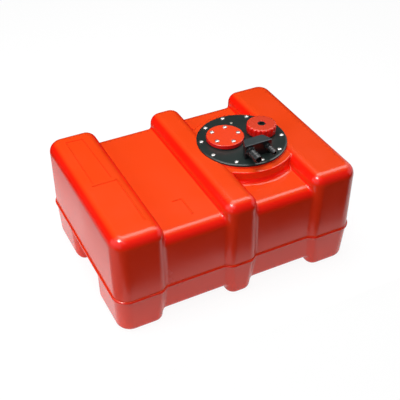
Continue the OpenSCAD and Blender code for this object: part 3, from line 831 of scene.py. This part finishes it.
def neck_thread():
    """Sweeps a thread profile up a helix round the neck, thinned out at both ends."""
    rings = []
    steps = 64
    for i in range(int(thread_turns * steps) + 1):
        share = i / (thread_turns * steps)
        depth = (thread_r - neck_r) * min(1, 12 * share, 12 * (1 - share))
        angle = 2 * math.pi * i / steps
        z = deck_z + thread_from + thread_pitch * i / steps
        profile = ((neck_r - 0.5, -1.5), (neck_r + depth, -0.4), (neck_r + depth, 0.4),
                   (neck_r - 0.5, 1.5))
        rings.append([(hatch_x + neck_x + r * math.cos(angle), neck_y + r * math.sin(angle),
                       z + up) for r, up in profile])
    return rings


thread = skinned("filler_neck_thread", [neck_thread()])
thread.data.materials.append(black_nylon)
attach(thread, "tank")


# Screws.
# Stainless button-head screws with a hexagon socket. Ten hold the hatch plate, five
# the port's cover, and three hold the outlet block from under the plate.
screw_r, screw_pitch, screw_groove = 2.5, 0.8, 0.45
head_r, head_h, socket_af, socket_deep = 4.3, 2.8, 3.6, 1.7


def hexagon(af, count, phase=0.0):
    """Radius of a hexagon of that width across its flats, at count angles from a corner."""
    angle = phase + 2 * math.pi * np.arange(count) / count
    return af / 2 / np.cos((angle % (math.pi / 3)) - math.pi / 6)


def rings_of(profile, count=48):
    """Rings for pairs of radius and height; a radius may be an array, one for each angle."""
    angle = 2 * math.pi * np.arange(count) / count
    return [np.stack((r * np.cos(angle), r * np.sin(angle), np.full(count, z)), axis=1)
            for r, z in profile]


def screw_rings(length):
    """A screw along +Z with the underside of its head at height nil."""
    count = 36
    whole = np.ones(count)
    angle = 2 * math.pi * np.arange(count) / count
    profile = [(1.7 * whole, -length), (2.1 * whole, -length + 0.5)]
    for z in np.arange(-length + screw_pitch, -1.2, screw_pitch / 4):
        turn = (z / screw_pitch - angle / (2 * math.pi)) % 1.0
        profile.append((screw_r - screw_groove * np.abs(2 * turn - 1), z))
    profile += [(2.3 * whole, -0.9), (screw_r * whole, -0.6), (screw_r * whole, 0)]
    profile += [(r * whole, z) for r, z in (
        (4.05, 0), (4.25, 0.15), (head_r, 0.4), (head_r, 1.35), (4.22, 1.62), (3.9, 1.87),
        (3.4, 2.1), (2.8, 2.32), (2.25, 2.48), (2.0, 2.52))]
    hexed = hexagon(socket_af, count)
    profile += [(hexed * 1.03, 2.44), (hexed, 2.3), (hexed, head_h - socket_deep),
                (hexed * 0.5, head_h - socket_deep - 0.25)]
    return rings_of(profile, count)


def placed(rings, place, turn=0.0, flip=False):
    """Rings moved to a place after a turn about Z, upside down where flipped."""
    ways = Matrix.Rotation(turn, 3, "Z")
    if flip:
        ways = ways @ Matrix.Rotation(math.pi, 3, "X")
    moved = np.array(rings) @ np.array(ways).T
    return moved + np.array(place)


steel = metal("stainless_steel", (0.60, 0.60, 0.58), 0.30, 2400.0, 0.00001, 0.75)


def screw_set(name, node, places, length, turns, flip=False):
    rings = screw_rings(length)
    stacks = [placed(rings, place, turn, flip) for place, turn in zip(places, turns)]
    piece = skinned(name, stacks)
    piece.data.materials.append(steel)
    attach(piece, "tank")
    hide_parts(node)


def circle_places(count, circle, first, centre_x, centre_y, z):
    angles = [math.radians(first + 360 * i / count) for i in range(count)]
    return [(centre_x + circle * math.cos(a), centre_y + circle * math.sin(a), z) for a in angles]


screw_set("hatch_screws", "hatch_screws",
          circle_places(screw_count, screw_circle, screw_first, hatch_x, 0, deck_z),
          13.0, [0.4 + 1.7 * i for i in range(screw_count)])
block_screw_places = [(hatch_x + x, y, plate_z) for x, y in block_screw_spots]
screw_set("block_screws", "block_screws", block_screw_places, 14.0, (0.2, 1.1, 0.7), flip=True)


# Gauge port.
# A glossy orange-red disc blanks the port for a gauge. It lies on a rubber gasket on
# the plate's raised ring, its skirt hides both, and five screws hold it in brass inserts.
cover_r, cover_t, cover_edge, skirt_h, skirt_in = 37.3, 4.5, 1.6, 4.0, 35.8
port_top = deck_z + port_ring_h
cover_z = port_top + 1.0


def cover_distance(x, y, z):
    x = x - hatch_x - port_x
    y = y - port_y
    r = np.hypot(x, y)
    z = z - cover_z
    crown = 0.25 * (r / cover_r) ** 2
    disc = rounded_meet(r - cover_r, z - cover_t + crown, cover_edge)
    disc = rounded_meet(disc, -skirt_h - z, 0.6)
    disc = np.maximum(disc, np.minimum(skirt_in - r, -z))
    return np.maximum(disc, hole_ring(x, y, port_count, port_circle, port_first, screw_hole))


# Painted shade: the disc's rounded edge and upright skirt are painted deeper and darker red than
# its top.
cover_plastic = finish("orange_red_cover", (0.76, 0.053, 0.014), 0.22, 0.05, 1500.0, 0.00001,
                       (0.80, 0.014, 0.008), (0.72, 0.006, 0.006))
cover = moulded("port_cover", cover_distance,
                (hatch_x + port_x - cover_r - 2, port_y - cover_r - 2, cover_z - skirt_h - 1.3),
                (hatch_x + port_x + cover_r + 2, port_y + cover_r + 2, cover_z + cover_t + 2), 0.9)
cover.data.materials.append(cover_plastic)
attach(cover, "tank")
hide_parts("port_cover")
dressed(brass, "port_inserts")
dressed(rubber, "port_gasket")
port_screw_places = circle_places(port_count, port_circle, port_first,
                                  hatch_x + port_x, port_y, cover_z + cover_t - 0.1)
screw_set("port_screws", "port_screws", port_screw_places,
          11.5, [0.9 + 1.3 * i for i in range(port_count)])


# Filler cap.
# A red moulded cap with a scalloped rim, screwed on the neck. Its top has a hexagon
# socket for a key, lined by a black hexagonal plug, and a rubber ring seals it.
cap_r, cap_bottom, cap_tall = 29.5, deck_z + 2, 18.0
cap_bore, cap_roof, cap_hex_af = 22.1, 3.5, 15.0
cap_core_r, cap_core_deep, cap_hex_deep = 11.2, 10.0, 7.0
lobe_count, lobe_deep, lobe_reach = 18, 2.2, 0.97
cap_count = lobe_count * 12


def lobes(depth):
    """How far the rim draws in between its rounded lobes, at each angle."""
    share = (lobe_count * np.arange(cap_count) / cap_count) % 1.0
    off = lobe_reach * (2 * share - 1)
    return depth * (1 - np.sqrt(1 - off ** 2)) / (1 - math.sqrt(1 - lobe_reach ** 2))


def cap_rings():
    """The cap's section, from its hexagon socket over the rim and back up its inside."""
    whole = np.ones(cap_count)
    hexed = hexagon(cap_hex_af, cap_count, math.pi / 6)
    top = cap_tall
    profile = [(6.5 * whole, top - cap_core_deep), (6.5 * whole, top - cap_hex_deep),
               (hexed, top - cap_hex_deep),
               (hexed, top - 0.7), (hexed + 0.9, top), (11.5 * whole, top), (19 * whole, top),
               (25.0 * whole - lobes(0.2), top - 0.05), (26.9 * whole - lobes(0.9), top - 0.2),
               (28.2 * whole - lobes(1.4), top - 0.75), (29.0 * whole - lobes(1.7), top - 1.6),
               (cap_r * whole - lobes(lobe_deep), top - 3.0),
               (cap_r * whole - lobes(lobe_deep), top - 8.0),
               (cap_r * whole - lobes(lobe_deep), 1.2),
               (29.2 * whole - lobes(lobe_deep), 0.4), (28.6 * whole - lobes(lobe_deep), 0),
               ((cap_bore + 0.5) * whole, 0), (cap_bore * whole, 0.5),
               (cap_bore * whole, top - cap_roof), (cap_core_r * whole, top - cap_roof),
               (cap_core_r * whole, top - cap_core_deep)]
    return placed(rings_of(profile, cap_count), (hatch_x + neck_x, neck_y, cap_bottom))


# Painted shade: the cap's rounded rim and upright scalloped skirt are painted deeper red than its
# top.
cap_plastic = finish("red_cap", (0.60, 0.047, 0.018), 0.27, 0.08, 1500.0, 0.00001,
                     (0.80, 0.016, 0.010), (0.76, 0.006, 0.002))
cap = skinned("filler_cap", [cap_rings()], closed=True)
cap.data.materials.append(cap_plastic)
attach(cap, "cap")
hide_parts("filler_cap")


def plug_rings():
    """The plug's section, from its foot up the outside and down its hexagon socket."""
    count = 96
    whole = np.ones(count)
    outer, inner = hexagon(14.9, count, math.pi / 6), hexagon(10.5, count, math.pi / 6)
    rim = cap_tall - 0.4
    profile = [(5.9 * whole, 8), (6.4 * whole, 8.5), (6.4 * whole, 11), (outer, 11.02),
               (outer, rim - 0.5), (outer - 0.35, rim), (inner + 0.35, rim), (inner, rim - 0.4),
               (inner, rim - 5), (inner * 0.4, rim - 5.6)]
    return placed(rings_of(profile, count), (hatch_x + neck_x, neck_y, cap_bottom))


plug = skinned("cap_plug", [plug_rings()])
plug.data.materials.append(black_nylon)
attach(plug, "cap")
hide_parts("cap_plug")
dressed(rubber, "cap_seal")


# Outlet block.
# A tapered block of the same black nylon that turns the outlets forward. It stands on
# a thin gasket and is drawn down by three screws from under the plate.
block_front, block_back = -65.0, -41.5
block_half, block_back_half = 30.5, 21.0
block_z, block_h = deck_z + 0.8, 29.0
block_corner, block_top_edge = 4.0, 1.6
tail_z = deck_z + 17.5
vent_socket_r, fuel_socket_r, tail_socket_deep = 7.15, 4.65, 8.0


def block_plan(x, y):
    """Distance to the block's outline, with x from the hatch's middle."""
    deep = (block_back - block_front) / 2
    taper = (block_half - block_back_half) / (2 * deep)
    across = (np.abs(x) - block_back_half - taper * (block_back - y)) / math.hypot(1, taper)
    along = np.abs(y - (block_front + block_back) / 2) - deep
    return rounded_meet(across, along, block_corner)


def block_distance(x, y, z):
    """Distance to the block, with the two sockets that the tails screw into."""
    x = x - hatch_x
    body = rounded_meet(block_plan(x, y), z - block_z - block_h, block_top_edge)
    body = rounded_meet(body, block_z - z, 0.3)
    for side, socket_r in ((-1, vent_socket_r), (1, fuel_socket_r)):
        from_axis = np.hypot(x - side * tail_off, z - tail_z)
        body = np.maximum(
            body, np.minimum(socket_r - from_axis, block_front + tail_socket_deep - y))
    return body


# Painted shade: the block's upright faces are painted near black, darker than its top, in place of
# the dark they mirror.
block_nylon = finish("block_nylon", (0.029, 0.036, 0.038), 0.30, 0.45, 1500.0, 0.00003,
                     (0.030, 0.034, 0.040), (0.006, 0.007, 0.008))
block = moulded("outlet_block", block_distance,
                (hatch_x - block_half - 2, block_front - 2, block_z - 1.9),
                (hatch_x + block_half + 2, block_back + 2, block_z + block_h + 2), 0.9)
block.data.materials.append(block_nylon)
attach(block, "tank")
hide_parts("outlet_block")


# Block gasket.
# A thin sheet of black rubber, cut half a millimetre inside the block's outline and
# squeezed between the block and the plate by the three screws.
gasket_inset, gasket_count = 0.5, 120


def gasket_rings(inset, count):
    """The block's outline drawn in by inset, at the gasket's two faces."""
    angle = 2 * math.pi * np.arange(count) / count
    middle = (block_front + block_back) / 2
    near, far = np.zeros(count), np.full(count, 60.0)
    for _ in range(40):
        r = (near + far) / 2
        inside = block_plan(r * np.cos(angle), middle + r * np.sin(angle)) < -inset
        near, far = np.where(inside, r, near), np.where(inside, far, r)
    return [np.stack((hatch_x + near * np.cos(angle), middle + near * np.sin(angle),
                      np.full(count, z)), axis=1) for z in (deck_z, block_z)]


block_gasket = skinned("block_gasket", [gasket_rings(gasket_inset, gasket_count)])
block_gasket.data.materials.append(rubber)
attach(block_gasket, "tank")
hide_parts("block_gasket")


# Hose tails.
# Two turned tails of black nylon with hexagons and three barbs each: the wide one for
# the vent hose and the thin one for the fuel hose. Rubber rings seal their threads.
shank_l, hex_from, hex_to, plain_to = 7.7, 1.0, 6.5, 9.0
barb_count = 3


def tail_rings(x, bore, af, r, barb):
    """A tail along -Y from the block's face, as rings from its shank out and back in."""
    count = 96
    whole = np.ones(count)
    hexed = hexagon(af, count)
    chamfer = af / 2 + 0.1
    shank = bore + 1.6
    profile = [(bore * whole, -shank_l), ((shank - 0.5) * whole, -shank_l),
               (shank * whole, 0.5 - shank_l),
               (shank * whole, hex_from), (np.minimum(hexed, chamfer), hex_from),
               (np.minimum(hexed, chamfer + 0.5), hex_from + 0.3), (hexed, hex_from + 0.75),
               (hexed, hex_to - 0.75), (np.minimum(hexed, chamfer + 0.5), hex_to - 0.3),
               (np.minimum(hexed, chamfer), hex_to), ((r + 0.3) * whole, hex_to),
               (r * whole, hex_to + 0.3), (r * whole, plain_to)]
    for i in range(barb_count):
        start = plain_to + i * barb
        profile += [((r + 0.8) * whole, start), ((r + 1.0) * whole, start + 0.25),
                    ((r + 1.0) * whole, start + 1.2), ((r - 0.8) * whole, start + barb)]
    tip = plain_to + barb_count * barb
    profile += [((bore + 0.5) * whole, tip), (bore * whole, tip - 0.4)]
    rings = np.array(rings_of(profile, count))
    turned = np.stack((rings[..., 0], -rings[..., 2], rings[..., 1]), axis=-1)
    return turned + np.array((x, block_front, tail_z))


tail_nylon = finish("tail_nylon", (0.010, 0.011, 0.012), 0.17, 0.3, 1500.0, 0.00001)
for name, side, bore, af, r, barb in (("vent_tail", -1, 5.5, 18.0, 7.8, 8.0),
                                      ("fuel_tail", 1, 3.0, 12.5, 4.7, 6.0)):
    tail = skinned(name, [tail_rings(hatch_x + side * tail_off, bore, af, r, barb)], closed=True)
    tail.data.materials.append(tail_nylon)
    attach(tail, "tank")
    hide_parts(name)
dressed(rubber, "tail_seals")


# Fuel pickup.
# A black nylon tube pressed into the outlet block, which hangs down to just above the
# tank's floor and ends in a slotted strainer.
pickup_nylon = finish("pickup_nylon", (0.022, 0.024, 0.024), 0.42, 0.3, 1800.0, 0.00002)
dressed(pickup_nylon, "pickup_tube", "pickup_strainer")


# Bonding stud.
# A brass stud with a domed head through the plate, with a nut under it, that earths
# the filler.
tinned = metal("tinned_brass", (0.62, 0.60, 0.52), 0.34, 1800.0, 0.00002, 0.8)
dressed(tinned, "bonding_stud")
dressed(brass, "bonding_nut")
